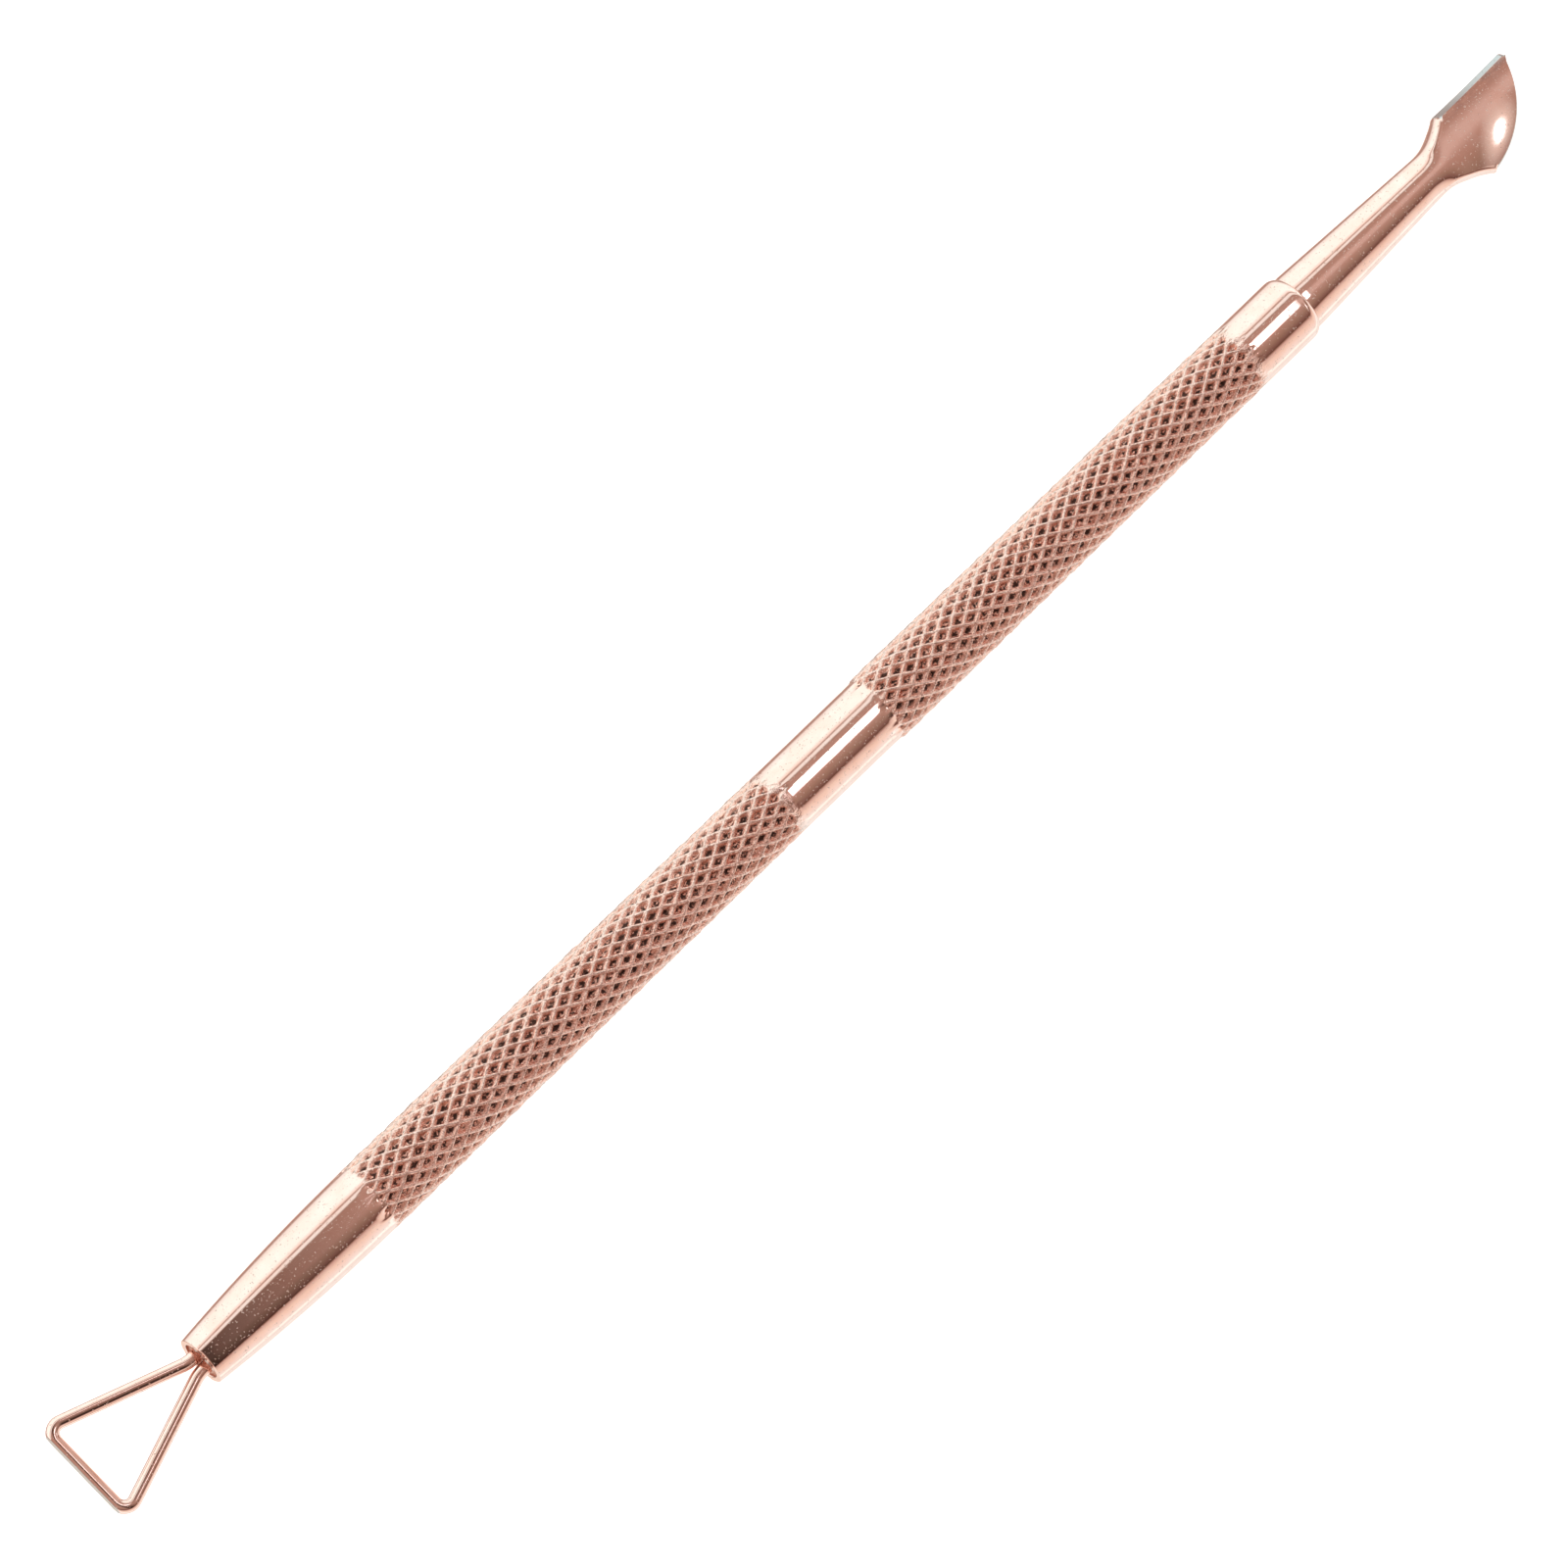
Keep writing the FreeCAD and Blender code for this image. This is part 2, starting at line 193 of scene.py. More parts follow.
def knurl_phases(phase):
    """How far round each of the two crossing sets of crests every point is, from 0 to 1."""
    columns = np.arange(COLUMNS) / CELL
    first = (columns[None, :] + phase[:, None]) % 1.0
    second = (columns[None, :] - phase[:, None]) % 1.0
    return first, second


def knurl_radius(rows, along, reach, seed):
    """Radius of the cut knurl: uneven crests, pits of uneven depth and small chips."""
    x = np.repeat(rows, COLUMNS)
    turn = np.tile(TURNS, len(rows))
    rough = ripple(x, turn, 2.6, seed).reshape(reach.shape)
    coarse = ripple(x, turn, 0.9, seed + 7).reshape(reach.shape)
    chips = np.random.default_rng(seed).normal(0.0, 1.0, reach.shape).clip(-1.6, 1.6)
    crest = CREST_THICK_R + (CREST_THIN_R - CREST_THICK_R) * along + 0.045 * rough - 0.02
    pit = smoothstep(0.04, 0.66, reach) * (1 + 0.25 * coarse)
    return crest - PIT_DEPTH * pit + 0.007 * chips


def knurl_zone(start, end, pitch, plain_start, plain_end, seed):
    """Ring positions and radii of one knurled grip, faded out raggedly at its ends."""
    phase = np.arange(int((end - start) / pitch * CELL) + 1) / CELL
    rows = start + phase * pitch
    here = rows[:, None]
    along = (here - start) / (end - start)
    first, second = knurl_phases(phase)
    reach = 2 * np.minimum(np.minimum(first, 1 - first), np.minimum(second, 1 - second))
    shift = 0.35 * ripple(np.zeros(COLUMNS), TURNS, 1.3, seed + 3)
    fade_in = smoothstep(0.02, 0.42, here - start + shift[None, :] + 0.12 * first)
    fade_out = smoothstep(0.02, 0.42, end - here + shift[None, ::-1] + 0.12 * second)
    amount = fade_in * fade_out
    plain = plain_start + (plain_end - plain_start) * along
    radius = plain + (knurl_radius(rows, along, reach, seed) - plain) * amount
    return rows, np.minimum(radius, CREST_THICK_R - 0.01), reach * amount


def plain_rows(places):
    """Rings of one radius each, from (x, radius) pairs."""
    rows = np.array([p[0] for p in places])
    radius = np.repeat(np.array([p[1] for p in places])[:, None], COLUMNS, axis=1)
    return rows, radius, np.zeros_like(radius)


def nose_places():
    """Bore mouth, rounded rim and the swaged nose, in order of the surface."""
    rim = 0.07
    places = [(MOUTH + 4.0, MOUTH_R + 0.10), (MOUTH + 1.0, MOUTH_R + 0.02)]
    quarter = [math.pi / 2 * step / 4 for step in range(5)]
    places += [(MOUTH + rim - rim * math.sin(a), MOUTH_R + rim - rim * math.cos(a)) for a in quarter]
    places += [(MOUTH + rim - rim * math.cos(a), NOSE_END_R - rim + rim * math.sin(a)) for a in quarter]
    length = NOSE_ROOT - MOUTH
    for step in range(1, 29):
        x = MOUTH + rim + (length - rim) * step / 29
        away = (NOSE_ROOT - x) / length
        places.append((x, NOSE_ROOT_R - (NOSE_ROOT_R - NOSE_END_R) * away**2))
    return places


def collar_places():
    """Plain collar, its rounded shoulder and the end face against the shank, then the bore."""
    shoulder = 0.65
    drop = BAND_R - COLLAR_FACE_R
    places = []
    for step in range(1, 12):
        places.append((COLLAR_ROOT + (SEAM - shoulder - COLLAR_ROOT) * step / 11, BAND_R))
    for step in range(1, 9):
        t = step / 8
        places.append((SEAM - shoulder + shoulder * t, BAND_R - drop * t**2.2))
    places.append((SEAM, COLLAR_FACE_R - 0.12))
    places.append((SEAM - 0.3, BORE_R))
    places.append((MOUTH + 12.0, BORE_R))
    return places


def band_places():
    return [(-BAND + 2 * BAND * step / 16, BAND_R) for step in range(1, 16)]


def knurled_mask(rows):
    """1 for the rings of the two knurled grips, 0 for the rest."""
    loop_side = (rows > NOSE_ROOT) & (rows < -BAND)
    blade_side = (rows > BAND) & (rows < COLLAR_ROOT)
    return (loop_side | blade_side).astype(float)


def make_handle():
    parts = [
        plain_rows(nose_places()),
        knurl_zone(NOSE_ROOT, -BAND, LOOP_SIDE_PITCH, NOSE_ROOT_R, BAND_R, seed=11),
        plain_rows(band_places()),
        knurl_zone(BAND, COLLAR_ROOT, BLADE_SIDE_PITCH, BAND_R, BAND_R, seed=29),
        plain_rows(collar_places()),
    ]
    rows, radius, pits = (np.concatenate(column) for column in zip(*parts))
    x = np.repeat(rows[:, None], COLUMNS, axis=1)
    rim = smoothstep(0.5, 0.0, np.abs(x - MOUTH)) * smoothstep(MOUTH_R, NOSE_END_R, radius)
    wobble = ripple(np.zeros(COLUMNS), TURNS, 1.1, 3.0)
    x = x - 0.06 * rim * np.clip(wobble[None, :], -1, 0.2)
    points = np.stack([x, radius * np.cos(TURNS), radius * np.sin(TURNS)], -1).reshape(-1, 3)
    piece = add_mesh("handle_skin", points, ring_faces(len(rows), COLUMNS, closed_rows=True))
    set_point_value(piece, "pit", pits.reshape(-1))
    set_point_value(piece, "knurled", np.repeat(knurled_mask(rows), COLUMNS))
    return piece


# ---------------------------------------------------------------- pusher tip


def upper_reach(dx):
    """How far the tip reaches to the upper side of the axis, at a distance from the neck."""
    if dx < UPPER_CORNER_AT:
        flare = 5.5
        return NECK_R + flare - math.sqrt(flare**2 - max(0.0, dx - 0.6) ** 2)
    straight = BLADE_LENGTH - TIP_ROUND - UPPER_CORNER_AT
    edge = UPPER_CORNER_OUT - UPPER_EDGE_LEAN * (dx - UPPER_CORNER_AT) / straight
    past = max(0.0, dx - BLADE_LENGTH + TIP_ROUND) / TIP_ROUND
    return edge - TIP_ROUND * (1 - math.sqrt(max(0.0, 1 - past**2)))


def lower_reach(dx):
    """How far the tip reaches below the axis: the flare, then the curved cutting edge."""
    if dx < LOWER_CORNER_AT:
        flare = 7.4
        return NECK_R + flare - math.sqrt(flare**2 - max(0.0, dx - 0.4) ** 2)
    start = Vector((LOWER_CORNER_AT, -LOWER_CORNER_OUT))
    end = Vector((BLADE_LENGTH, UPPER_CORNER_OUT - UPPER_EDGE_LEAN - TIP_ROUND))
    chord = end - start
    radius = (chord.length**2 / 4 + BELLY_BULGE**2) / (2 * BELLY_BULGE)
    outward = Vector((chord.y, -chord.x)).normalized()
    centre = (start + end) / 2 - outward * (radius - BELLY_BULGE)
    inside = max(0.0, radius**2 - (dx - centre.x) ** 2)
    return math.sqrt(inside) - centre.y


Side = namedtuple("Side", "reach ground_from slope_from round_width most_stretch")
UPPER = Side(upper_reach, 3.70, 3.9, 0.60, 2.0)
LOWER = Side(lower_reach, 4.55, 4.7, 0.42, 3.2)


def ground_share(side, dx):
    """1 where a side is ground to a bevel after plating, 0 where it is round and plated."""
    return float(smoothstep(side.ground_from, side.ground_from + 0.5, dx))


def bevel_width(side, dx, blade_width):
    """Width of a side's bevel or rounding in the section; a slanted edge cuts the section longer."""
    step = 0.01
    slope = 0.0
    if dx > side.slope_from:
        slope = (side.reach(dx + step) - side.reach(dx - step)) / (2 * step)
    stretch = min(math.hypot(1, slope), side.most_stretch)
    ground = ground_share(side, dx)
    width = side.round_width * (1 - ground) + BEVEL * ground * stretch
    return min(width, 0.42 * blade_width)


def tip_thickness(dx):
    """Thickness on the centre line, from the round neck to the thin end."""
    return 0.36 + 2.84 / (1 + (dx / 3.9) ** 2.3)


def crown(dx):
    """Height of the back's crown; it leaves the neck at the shank's taper."""
    return NECK_R - SHANK_TAPER * dx - dx**2 / (2 * BACK_ARC_LONG)


def bevel_point(t, reach, band, high, foot):
    """A point down a ground side: a straight bevel to a lip, then the thin land below it."""
    lip_at = 0.75
    lip = high + (foot - high) * 0.72
    if t < lip_at:
        s = t / lip_at
        return reach - band + band * s, high + (lip - high) * s
    s = (t - lip_at) / (1 - lip_at)
    return reach - LAND * s, lip + (foot - lip) * s


def side_run(reach, band, high, foot, ground):
    """Points down one side: round where it is plated, a straight bevel where it is ground."""
    run = []
    for t in np.linspace(0, 1, SIDE_POINTS + 2)[1:-1]:
        turn = math.pi * t
        round_y = reach - band + band * math.sin(turn) ** 0.8
        round_z = high + (foot - high) * (0.5 - 0.5 * math.cos(turn))
        bevel_y, bevel_z = bevel_point(t, reach, band, high, foot)
        y = round_y * (1 - ground) + bevel_y * ground
        z = round_z * (1 - ground) + bevel_z * ground
        run.append((y, z))
    return run


def plate_ring(dx):
    """One closed section of the flared tip, in the same order as round_ring."""
    up = upper_reach(dx)
    low = -lower_reach(dx)
    band_up = bevel_width(UPPER, dx, up - low)
    band_low = bevel_width(LOWER, dx, up - low)
    ground_up = ground_share(UPPER, dx)
    ground_low = ground_share(LOWER, dx)
    foot_up = up - band_up * (1 - ground_up) - LAND * ground_up
    foot_low = low + band_low * (1 - ground_low) + LAND * ground_low
    crown_z = crown(dx)
    belly_z = crown_z - tip_thickness(dx)

    def top(y):
        return crown_z - y**2 / (2 * BACK_ARC_CROSS)

    def under(y):
        return belly_z - y**2 / (2 * (BACK_ARC_CROSS + 0.6))

    upper_side = side_run(up, band_up, top(up - band_up), under(foot_up), ground_up)
    lower_side = side_run(-low, band_low, top(low + band_low), under(foot_low), ground_low)
    ring = [(y, top(y)) for y in np.linspace(low + band_low, up - band_up, TOP_POINTS)]
    ring += upper_side
    ring += [(y, under(y)) for y in np.linspace(foot_up, foot_low, TOP_POINTS)]
    ring += [(-y, z) for y, z in reversed(lower_side)]
    return np.array(ring)


def round_ring(radius):
    """The same ring of points laid round a circle, for the shank and its blend into the flare."""
    spread = math.radians(48)
    top = np.linspace(-spread, spread, TOP_POINTS)
    side = np.linspace(spread, math.pi - spread, SIDE_POINTS + 2)[1:-1]
    turn = np.concatenate([top, side, top + math.pi, side + math.pi])
    return np.stack([radius * np.sin(turn), radius * np.cos(turn)], -1)


def ground_ring(dx):
    """1 on the bevels that are ground after plating, 0 on plated metal."""
    plain = np.zeros(TOP_POINTS)
    upper = np.full(SIDE_POINTS, ground_share(UPPER, dx))
    lower = np.full(SIDE_POINTS, ground_share(LOWER, dx))
    return np.concatenate([plain, upper, plain, lower])


def shank_sections():
    """Stations and rings of the spigot's end and the tapered shank."""
    face = COLLAR_FACE_R - 0.03
    stations = [SEAM - 1.2, SEAM - 0.02, SEAM]
    radii = [BORE_R, BORE_R, face]
    for step in range(1, 41):
        t = step / 41
        fillet = 0.03 * (1 - math.exp(-t * 60))
        radii.append(face + fillet - (COLLAR_FACE_R - NECK_R) * t)
        stations.append(SEAM + (NECK - SEAM) * t)
    return stations, [round_ring(radius) for radius in radii]


def flare_sections():
    """Stations and rings of the flare and the blade, closest together at corners and the end."""
    near = 0.01
    end = BLADE_LENGTH - 0.45
    places = [
        np.linspace(0.0, UPPER_CORNER_AT - near, 46),
        np.linspace(UPPER_CORNER_AT + near, LOWER_CORNER_AT - near, 14),
        np.linspace(LOWER_CORNER_AT + near, end, 170),
        end + 0.445 * np.sin(np.linspace(0.05, math.pi / 2, 24)),
    ]
    stations = []
    rings = []
    for dx in np.concatenate(places):
        blend = float(smoothstep(0.0, 3.0, dx))
        circle = round_ring(NECK_R - SHANK_TAPER * dx)
        rings.append(circle * (1 - blend) + plate_ring(dx) * blend)
        stations.append(NECK + dx)
    return stations, rings


def make_tip():
    shank_stations, shank_rings = shank_sections()
    flare_stations, flare_rings = flare_sections()
    stations = np.array(shank_stations + flare_stations)
    rings = np.array(shank_rings + flare_rings)
    columns = rings.shape[1]
    y = rings[:, :, 0]
    z = rings[:, :, 1]
    rolled_y = y * math.cos(BLADE_ROLL) - z * math.sin(BLADE_ROLL)
    rolled_z = y * math.sin(BLADE_ROLL) + z * math.cos(BLADE_ROLL)
    x = np.repeat(stations[:, None], columns, axis=1)
    points = np.stack([x, rolled_y, rolled_z], -1).reshape(-1, 3)
    piece = add_mesh("tip_forging", points, capped_faces(len(stations), columns), crease=35)
    set_point_value(piece, "ground", np.concatenate([ground_ring(s - NECK) for s in stations]))
    dx = x - NECK
    # Painted shade mask: 1 near the blade's upper edge beyond the corner, 0 elsewhere
    edge = UPPER_CORNER_OUT * math.cos(BLADE_ROLL) - rolled_y
    near_edge = smoothstep(1.15, 0.25, edge) * smoothstep(3.4, 4.6, dx)
    set_point_value(piece, "edge_shade", near_edge.reshape(-1))
    return piece


# ---------------------------------------------------------------- wire loop


def arc_points(centre, radius, start, end, count):
    return [
        (centre[0] + radius * math.cos(a), centre[1] + radius * math.sin(a))
        for a in np.linspace(start, end, count)
    ]


def wire_line():
    """Centre line of the wire, from one leg round the triangle to the other leg."""
    throat = MOUTH - THROAT
    base = LOOP_END + WIRE_R - GROUND_DEPTH
    corner_y = LOOP_HALF_WIDTH - WIRE_R - CORNER_BEND
    run = throat - base - CORNER_BEND
    rise = corner_y - LEG_OUT - THROAT_BEND
    bends = THROAT_BEND + CORNER_BEND
    span = math.sqrt(run**2 + rise**2 - bends**2)
    slope = math.atan2(rise, run) + math.atan2(bends, span)
    turn = -math.pi / 2
    leg = [(x, LEG_OUT) for x in np.linspace(MOUTH + BRAZE_DEPTH, throat, 12)[:-1]]
    bend = arc_points((throat, LEG_OUT + THROAT_BEND), THROAT_BEND, turn, turn - slope, 14)
    corner = arc_points((base + CORNER_BEND, corner_y), CORNER_BEND, math.pi / 2 - slope, math.pi, 16)
    side = np.linspace(bend[-1], corner[0], 22)[1:-1].tolist()
    half = leg + bend + side + corner
    middle = [(base, y) for y in np.linspace(corner_y, -corner_y, 20)[1:-1]]
    return np.array(half + middle + [(x, -y) for x, y in reversed(half)])


def make_loop():
    line = wire_line()
    columns = 28
    step = np.gradient(line, axis=0)
    step /= np.linalg.norm(step, axis=1)[:, None]
    normal = np.stack([-step[:, 1], step[:, 0]], -1)
    turn = 2 * math.pi * np.arange(columns) / columns
    across = WIRE_R * np.cos(turn)
    x = line[:, 0:1] + normal[:, 0:1] * across
    y = line[:, 1:2] + normal[:, 1:2] * across
    z = np.repeat(WIRE_R * np.sin(turn)[None, :], len(line), axis=0)
    x = np.maximum(x, LOOP_END)
    points = np.stack([x, y, z], -1).reshape(-1, 3)
    return add_mesh("wire_loop", points, capped_faces(len(line), columns), crease=30)


# ---------------------------------------------------------------- braze


def braze_face(y, z):
    """Where the rough face of the braze lies, drawn out along the two legs of the wire."""
    leg = math.hypot(abs(y) - LEG_OUT, z)
    wetted = 0.34 * math.exp(-max(0.0, leg - WIRE_R) / 0.16)
    lumps = noise.noise(Vector((y * 1.6, z * 1.6, 4.0))) * 0.16
    grain = noise.noise(Vector((y * 6.0, z * 6.0, 9.0))) * 0.05
    return MOUTH + 0.45 - wetted + lumps + grain


def make_braze():
    """Rough fill in the mouth of the nose, a plug with a lumpy outer face."""
    columns = 72
    plug_r = 1.42
    turns = 2 * math.pi * np.arange(columns) / columns
    points = []
    radii = np.linspace(0.02, plug_r, 26)
    for radius in radii:
        for turn in turns:
            y = radius * math.cos(turn)
            z = radius * math.sin(turn)
            points.append((braze_face(y, z), y, z))
    back = MOUTH + BRAZE_DEPTH
    points += [(back, plug_r * math.cos(turn), plug_r * math.sin(turn)) for turn in turns]
    return add_mesh("braze_fill", points, capped_faces(len(radii) + 1, columns))


# ---------------------------------------------------------------- materials

ROSE = (0.92, 0.66, 0.58)
ROSE_WARM = (0.90, 0.60, 0.51)
ROSE_DARK = (0.50, 0.27, 0.20)
# Painted shade for the knurl: a warmer, darker tint down its walls and near-black in its deepest pits
KNURL_WALL_SHADE = (0.95, 0.54, 0.43)
KNURL_PIT_SHADE = (0.045, 0.018, 0.013)
# Painted shade along the blade's upper edge
EDGE_SHADE = (0.50, 0.36, 0.34)
STEEL = (0.68, 0.67, 0.66)
STEEL_DARK = (0.50, 0.49, 0.48)
BRAZE = (0.90, 0.66, 0.58)
BRAZE_DARK = (0.46, 0.30, 0.25)


class Nodes:
    """Short names for building one node tree."""

    def __init__(self, tree):
        self.tree = tree
        self.links = tree.links

    def add(self, kind, **values):
        node = self.tree.nodes.new(kind)
        for name, value in values.items():
            setattr(node, name, value)
        return node

    def link(self, output, socket):
        self.links.new(output, socket)

    def math(self, operation, a, b=None, c=None):
        node = self.add("ShaderNodeMath", operation=operation)
        for socket, value in zip(node.inputs, (a, b, c)):
            self.feed(socket, value)
        return node.outputs[0]

    def feed(self, socket, value):
        if value is None:
            return
        if isinstance(value, bpy.types.NodeSocket):
            self.link(value, socket)
        else:
            socket.default_value = value

    def place(self, scale=(1, 1, 1)):
        """The object's own coordinates in millimetres, stretched."""
        where = self.add("ShaderNodeTexCoord")
        mapping = self.add("ShaderNodeMapping")
        mapping.inputs["Scale"].default_value = [1000 * s for s in scale]
        self.link(where.outputs["Object"], mapping.inputs["Vector"])
        return mapping.outputs["Vector"]

    def noise(self, where, scale, detail=3.0, roughness=0.55):
        node = self.add("ShaderNodeTexNoise")
        self.link(where, node.inputs["Vector"])
        node.inputs["Scale"].default_value = scale
        node.inputs["Detail"].default_value = detail
        node.inputs["Roughness"].default_value = roughness
        return node.outputs["Fac"]

    def ramp(self, value, low, high, out_low=0.0, out_high=1.0):
        node = self.add("ShaderNodeMapRange")
        node.inputs["From Min"].default_value = low
        node.inputs["From Max"].default_value = high
        node.inputs["To Min"].default_value = out_low
        node.inputs["To Max"].default_value = out_high
        self.link(value, node.inputs["Value"])
        return node.outputs["Result"]

    def mix(self, factor, a, b):
        node = self.add("ShaderNodeMix", data_type="RGBA")
        self.feed(node.inputs["Factor"], factor)
        for name, value in (("A", a), ("B", b)):
            socket = [s for s in node.inputs if s.name == name and s.type == "RGBA"][0]
            if isinstance(value, bpy.types.NodeSocket):
                self.link(value, socket)
            else:
                socket.default_value = (*value, 1.0)
        return [s for s in node.outputs if s.type == "RGBA"][0]

    def attribute(self, name):
        node = self.add("ShaderNodeAttribute", attribute_name=name)
        return node.outputs["Fac"]

    def bump(self, height, strength, distance_mm, normal=None):
        node = self.add("ShaderNodeBump")
        node.inputs["Strength"].default_value = strength
        node.inputs["Distance"].default_value = distance_mm * MM
        self.link(height, node.inputs["Height"])
        if normal is not None:
            self.link(normal, node.inputs["Normal"])
        return node.outputs["Normal"]


class Metal:
    """A metal material whose colour, roughness and normal are built up in steps."""

    def __init__(self, name):
        self.material = bpy.data.materials.new(name)
        self.material.use_nodes = True
        self.n = Nodes(self.material.node_tree)
        self.shader = self.material.node_tree.nodes["Principled BSDF"]
        self.shader.inputs["Metallic"].default_value = 1.0
        self.colour = None
        self.rough = None
        self.normal = None

    def tint(self, factor, colour):
        self.colour = self.n.mix(factor, self.colour, colour)

    def roughen(self, amount):
        self.rough = self.n.math("ADD", self.rough, amount)

    def finish(self):
        self.n.link(self.colour, self.shader.inputs["Base Color"])
        self.n.link(self.rough, self.shader.inputs["Roughness"])
        self.n.link(self.normal, self.shader.inputs["Normal"])
        return self.material


def rose_plating(name, scratch_scale):
    """Rose-gold plating: fine polishing lines, a clouded tint and sparse pits."""
    metal = Metal(name)
    n = metal.n
    where = n.place()
    lines = n.noise(n.place(scratch_scale), 1.0, 4.0, 0.6)
    cloud = n.noise(where, 0.7, 3.0)
    pits = n.ramp(n.noise(where, 7.0, 2.0, 0.5), 0.665, 0.72)
    metal.colour = n.mix(n.ramp(cloud, 0.35, 0.68), ROSE, ROSE_WARM)
    metal.tint(n.math("MULTIPLY", pits, 0.5), ROSE_DARK)
    metal.rough = n.ramp(lines, 0.3, 0.7, 0.045, 0.085)
    metal.roughen(n.math("MULTIPLY", pits, 0.25))
    polish = n.bump(lines, 0.10, 0.01)
    metal.normal = n.bump(n.math("SUBTRACT", 1.0, pits), 0.7, 0.03, polish)
    return metal


def add_knurl(metal):
    """Painted shade in the knurled grips' hollows: a warmer, darker tint down the walls and near-black
    in the deepest pits; torn metal as roughness and bump.
    """
    n = metal.n
    pit = n.attribute("pit")
    knurled = n.attribute("knurled")
    grain = n.noise(n.place(), 3.2, 3.0, 0.6)
    # painted shade: warmer and darker further down the knurl's walls
    metal.tint(n.math("MULTIPLY", n.ramp(pit, 0.05, 0.35), 0.9), KNURL_WALL_SHADE)
    # painted shade: near-black at the bottom of the pits, broken up by the grain
    dark = n.math("MULTIPLY", n.ramp(pit, 0.42, 0.62), n.ramp(grain, 0.42, 0.50))
    metal.tint(n.math("MULTIPLY", dark, 0.97), KNURL_PIT_SHADE)
    metal.roughen(n.math("MULTIPLY", knurled, n.ramp(grain, 0.35, 0.65, 0.01, 0.10)))
    metal.normal = n.bump(n.math("MULTIPLY", knurled, grain), 1.0, 0.16, metal.normal)


def add_edge_shade(metal):
    """Painted shade in broken patches along the blade's upper edge, with a little more roughness there.
    """
    n = metal.n
    shade_patches = n.noise(n.place((0.9, 2.6, 1.0)), 1.0, 4.0, 0.6)
    edge_shade = n.math("MULTIPLY", n.attribute("edge_shade"), n.ramp(shade_patches, 0.36, 0.60))
    # painted shade, in broken patches
    metal.tint(n.math("MULTIPLY", edge_shade, 0.7), EDGE_SHADE)
    metal.roughen(n.math("MULTIPLY", edge_shade, 0.10))


def grind(metal, mask):
    """Bare steel with grinding marks where the mask is 1."""
    n = metal.n
    marks = n.noise(n.place((9, 30, 9)), 1.0, 2.0)
    metal.tint(mask, n.mix(marks, STEEL, STEEL_DARK))
    plated = n.math("MULTIPLY", n.math("SUBTRACT", 1.0, mask), metal.rough)
    metal.rough = n.math("ADD", plated, n.math("MULTIPLY", mask, 0.28))


def handle_metal():
    metal = rose_plating("handle_plating_metal", (0.6, 14, 14))
    add_knurl(metal)
    return metal.finish()


def tip_metal():
    metal = rose_plating("tip_plating_metal", (0.8, 10, 10))
    add_edge_shade(metal)
    grind(metal, metal.n.ramp(metal.n.attribute("ground"), 0.35, 0.65))
    return metal.finish()


def wire_metal():
    """Plated wire; the flat outer side of the loop's base is ground bare."""
    metal = rose_plating("wire_plating_metal", (1.2, 6, 12))
    n = metal.n
    where = n.add("ShaderNodeTexCoord")
    split = n.add("ShaderNodeSeparateXYZ")
    n.link(where.outputs["Object"], split.inputs[0])
    grind(metal, n.ramp(split.outputs["X"], (LOOP_END + 0.03) * MM, (LOOP_END + 0.01) * MM))
    return metal.finish()


def braze_metal():
    metal = Metal("braze_metal")
    n = metal.n
    where = n.place()
    lumps = n.noise(where, 2.2, 5.0, 0.65)
    grain = n.noise(where, 12.0, 3.0)
    metal.colour = n.mix(n.ramp(lumps, 0.35, 0.62), BRAZE_DARK, BRAZE)
    metal.rough = n.ramp(grain, 0.3, 0.7, 0.26, 0.5)
    metal.normal = n.bump(grain, 0.6, 0.06)
    return metal.finish()


# ---------------------------------------------------------------- studio


# Studio lights, linear red, green and blue: the bright ones lean blue, which the plating absorbs,
# and the flags are brown
WHITE_BOX = (1.25, 1.50, 1.50)
CREAM = (1.05, 1.15, 1.15)
PEACH = (1.05, 1.00, 0.95)
BLUSH = (1.00, 0.90, 0.80)
TAN = (0.75, 0.60, 0.55)
MAUVE = (0.50, 0.35, 0.30)
BROWN = (0.35, 0.25, 0.20)
UMBER = (0.25, 0.15, 0.13)
EDGE = (0.15, 0.08, 0.06)
SPARK = (2.7, 2.9, 3.1)
LIGHT_GAIN = 1.8

# The small lamp: its angle from straight up towards the blade, its aim across the tool, and its size
LAMP_LEAN = 0.965
LAMP_LEAN_SIZE = 0.085
LAMP_ASIDE = -0.345
LAMP_ASIDE_SIZE = 0.20

# Soft boxes and dark flags round the tool's axis: degrees from straight up towards +Y
PANELS = [
    (-175, BLUSH),
    (-145, CREAM),
    (-124, CREAM),
    (-119, WHITE_BOX),
    (-113, WHITE_BOX),
    (-109, CREAM),
    (-92, PEACH),
    (-78, BLUSH),
    (-66, TAN),
    (-61, MAUVE),
    (-58, EDGE),
    (-50, UMBER),
    (-37, BROWN),
    (-18, MAUVE),
    (26, MAUVE),
    (29, BROWN),
    (32, CREAM),
    (40, CREAM),
    (42, MAUVE),
    (44, MAUVE),
    (47, PEACH),
    (58, WHITE_BOX),
    (104, WHITE_BOX),
    (128, CREAM),
    (139, MAUVE),
    (152, MAUVE),
    (172, BLUSH),
]


def scaled(light):
    """A light's colour before the world's own gain."""
    return [channel / LIGHT_GAIN for channel in light]


def panel_light(n, angle):
    """The soft boxes and flags, by angle round the tool's axis."""
    ramp = n.add("ShaderNodeValToRGB")
    n.link(n.math("MULTIPLY_ADD", angle, 0.5 / math.pi, 0.5), ramp.inputs["Fac"])
    stops = ramp.color_ramp.elements
    for index, (degrees, colour) in enumerate(PANELS):
        place = (degrees + 180) / 360
        stop = stops[index] if index < 2 else stops.new(place)
        stop.position = place
        stop.color = (*scaled(colour), 1.0)
    return ramp.outputs["Color"]


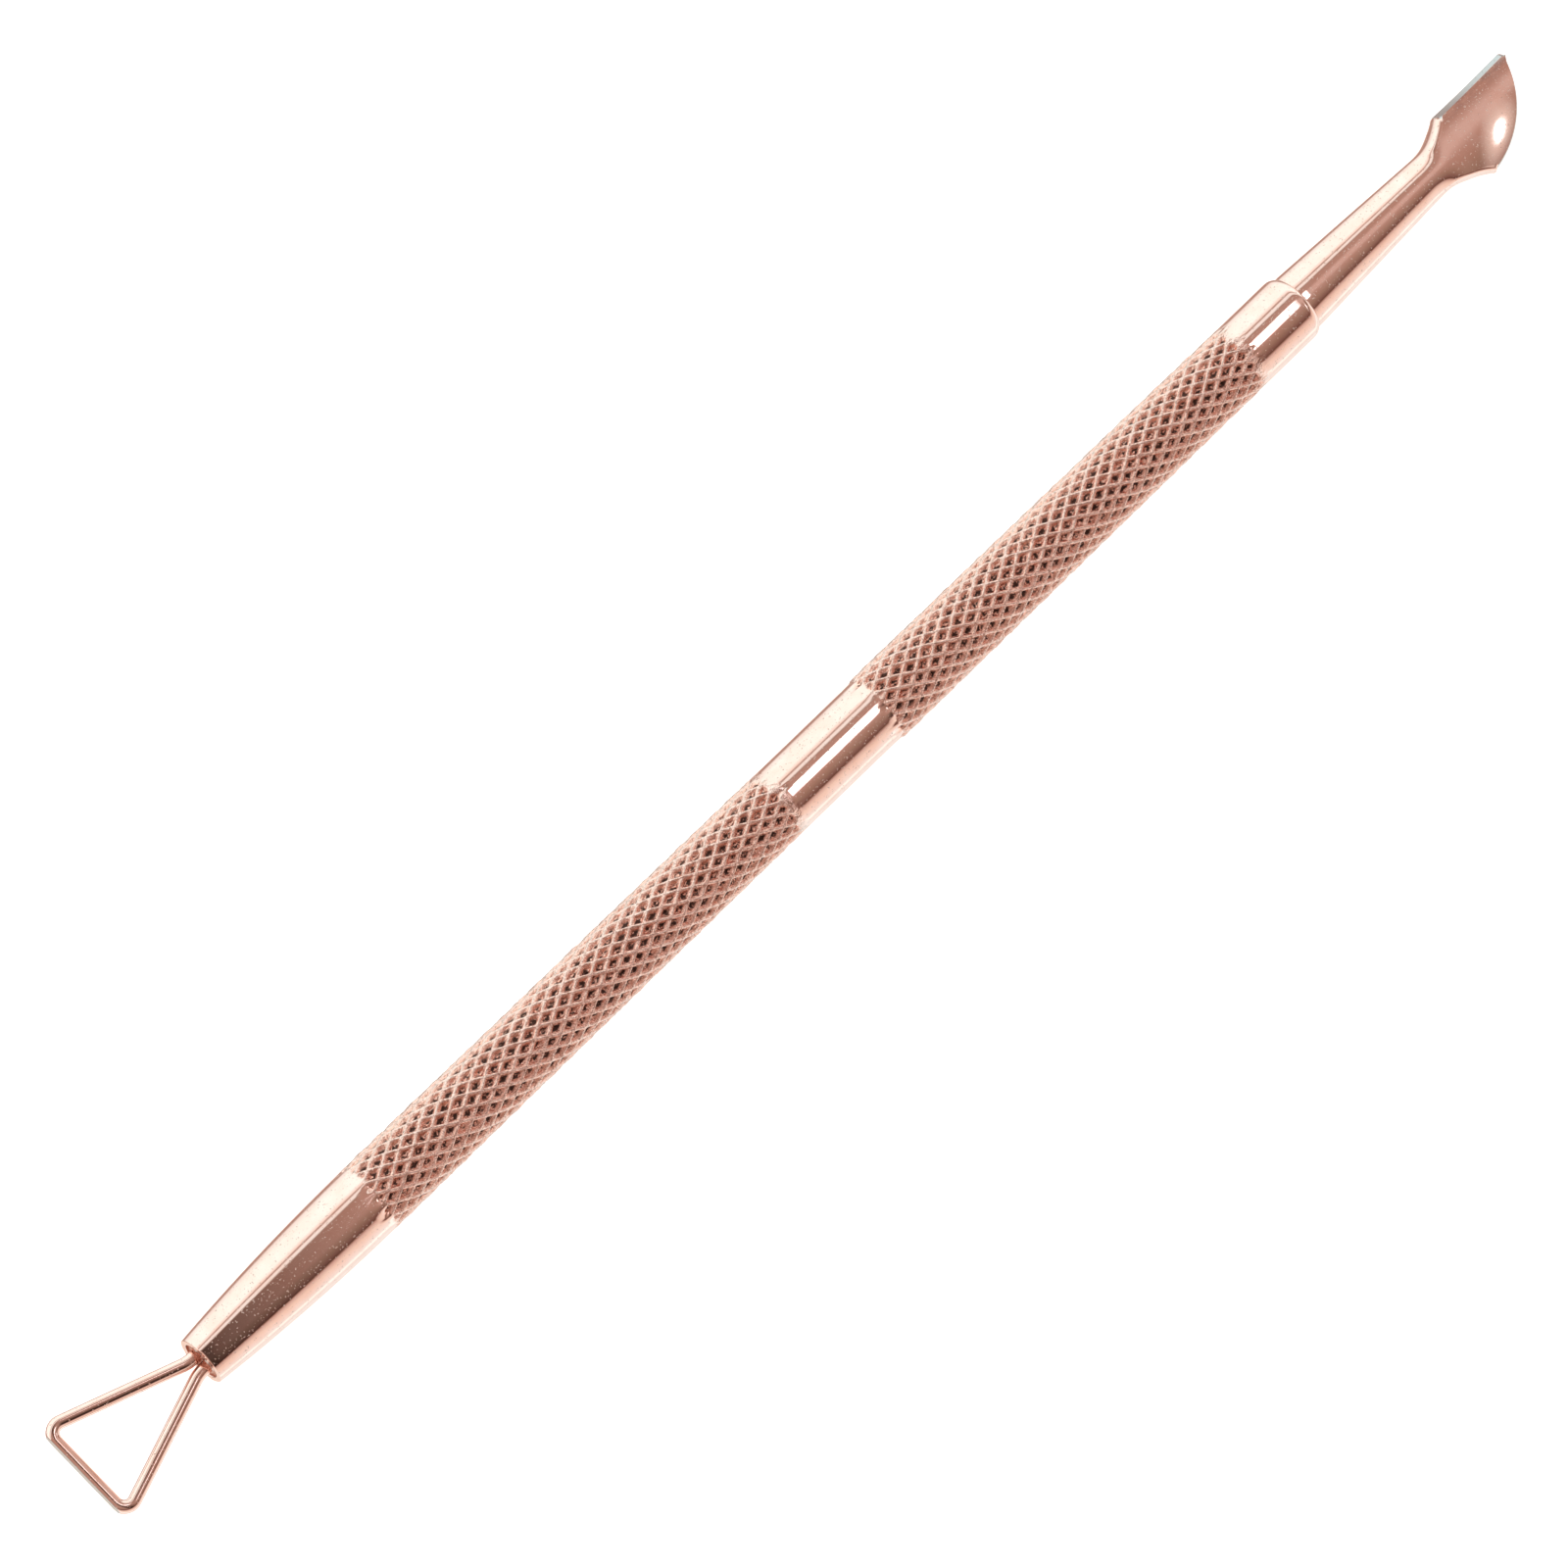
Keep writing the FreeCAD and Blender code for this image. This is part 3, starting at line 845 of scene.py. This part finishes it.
def dim_towards_nose(n, light, along, angle):
    """The overhead flags go darker on the side that the tapered nose mirrors."""
    flags = n.math("MULTIPLY", n.ramp(angle, -1.03, -1.00), n.ramp(angle, 0.51, 0.47))
    dimmed = n.math("MULTIPLY", flags, n.ramp(along, 0.27, 0.03, 0.0, 0.82))
    dimmed = n.math("MULTIPLY", dimmed, n.ramp(along, -0.22, -0.06))
    return n.mix(dimmed, light, (0.0, 0.0, 0.0))


def add_overhead(n, light, along, angle):
    """A soft glow that the shank mirrors, and the narrow strip that shows on the plain bands.

    Each ramp is one soft edge, in radians off the middle or as a direction's reach along the tool.
    """
    off_middle = n.math("ABSOLUTE", n.math("ADD", angle, 0.02))
    beyond = n.math("MULTIPLY", n.ramp(along, 0.39, 0.42), n.ramp(off_middle, 0.26, 0.08))
    light = n.mix(n.math("MULTIPLY", beyond, 0.75), light, scaled(TAN))
    strip = n.math("MULTIPLY", n.ramp(along, 0.272, 0.288), n.ramp(along, 0.385, 0.365))
    strip = n.math("MULTIPLY", strip, n.ramp(off_middle, 0.235, 0.20))
    return n.mix(strip, light, scaled(SPARK))


def add_lamp(n, light, along, split):
    """A small round lamp with a halo, mirrored in the blade's convex back."""
    lean = n.math("SUBTRACT", n.math("ARCTAN2", along, split.outputs["Z"]), LAMP_LEAN)
    lean = n.math("DIVIDE", lean, LAMP_LEAN_SIZE)
    aside = n.math("SUBTRACT", split.outputs["Y"], LAMP_ASIDE)
    aside = n.math("DIVIDE", aside, LAMP_ASIDE_SIZE)
    square = n.math("ADD", n.math("MULTIPLY", lean, lean), n.math("MULTIPLY", aside, aside))
    away = n.math("SQRT", square)
    light = n.mix(n.ramp(away, 1.7, 0.5, 0.0, 0.85), light, scaled(PEACH))
    return n.mix(n.ramp(away, 0.62, 0.36), light, scaled(SPARK))


def make_world():
    world = bpy.data.worlds.new("studio")
    bpy.context.scene.world = world
    world.use_nodes = True
    n = Nodes(world.node_tree)
    background = world.node_tree.nodes["Background"]
    where = n.add("ShaderNodeTexCoord")
    split = n.add("ShaderNodeSeparateXYZ")
    n.link(where.outputs["Generated"], split.inputs[0])
    along = split.outputs["X"]
    angle = n.math("ARCTAN2", split.outputs["Y"], split.outputs["Z"])
    light = panel_light(n, angle)
    light = dim_towards_nose(n, light, along, angle)
    light = add_overhead(n, light, along, angle)
    light = add_lamp(n, light, along, split)
    n.link(light, background.inputs["Color"])
    background.inputs["Strength"].default_value = LIGHT_GAIN


def make_floor(low):
    """A plain pale floor under the tool, left out of its reflections."""
    bpy.ops.mesh.primitive_plane_add(size=6.0, location=(0, 0, low))
    floor = bpy.context.object
    floor.name = "floor"
    material = bpy.data.materials.new("pale_floor")
    material.use_nodes = True
    shader = material.node_tree.nodes["Principled BSDF"]
    shader.inputs["Base Color"].default_value = (0.92, 0.92, 0.92, 1)
    shader.inputs["Roughness"].default_value = 1.0
    shader.inputs["Specular IOR Level"].default_value = 0.0
    shader.inputs["Emission Color"].default_value = (1, 1, 1, 1)
    shader.inputs["Emission Strength"].default_value = 0.85
    floor.data.materials.append(material)
    floor.visible_glossy = False


def make_camera():
    """A long lens 800 mm away, above the loop's end, with the tool running up to the right."""
    tilt = math.radians(17.5)
    along = Vector((math.cos(tilt), 0, math.sin(tilt)))
    view = Vector((math.sin(tilt), 0, -math.cos(tilt)))
    across = Vector((0, 1, 0))
    spin = math.radians(43.97)
    right = along * math.cos(spin) - across * math.sin(spin)
    up = along * math.sin(spin) + across * math.cos(spin)
    distance = 0.8
    middle = Vector((-1.69, 0, 0))
    aim = (middle - along * 1.42 + across * 0.67) * MM
    place = aim - view * distance
    turned = Matrix((right, up, -view)).transposed().to_4x4()
    turned.translation = place
    data = bpy.data.cameras.new("camera")
    data.sensor_width = 36.0
    data.lens = 286.0
    data.clip_start = 0.05
    data.clip_end = 20.0
    camera = bpy.data.objects.new("camera", data)
    camera.matrix_world = turned
    bpy.context.scene.collection.objects.link(camera)
    bpy.context.scene.camera = camera


# ---------------------------------------------------------------- assembly


def finish_piece(piece, node, material):
    piece.data.materials.append(material)
    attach(piece, "root")
    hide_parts(node)


make_camera()
finish_piece(make_handle(), "handle_tube", handle_metal())
finish_piece(make_tip(), "pusher_tip", tip_metal())
finish_piece(make_loop(), "scraper_loop", wire_metal())
finish_piece(make_braze(), "loop_braze", braze_metal())

make_world()
make_floor(cad_box[0][2])
bpy.context.scene.view_settings.view_transform = "Standard"
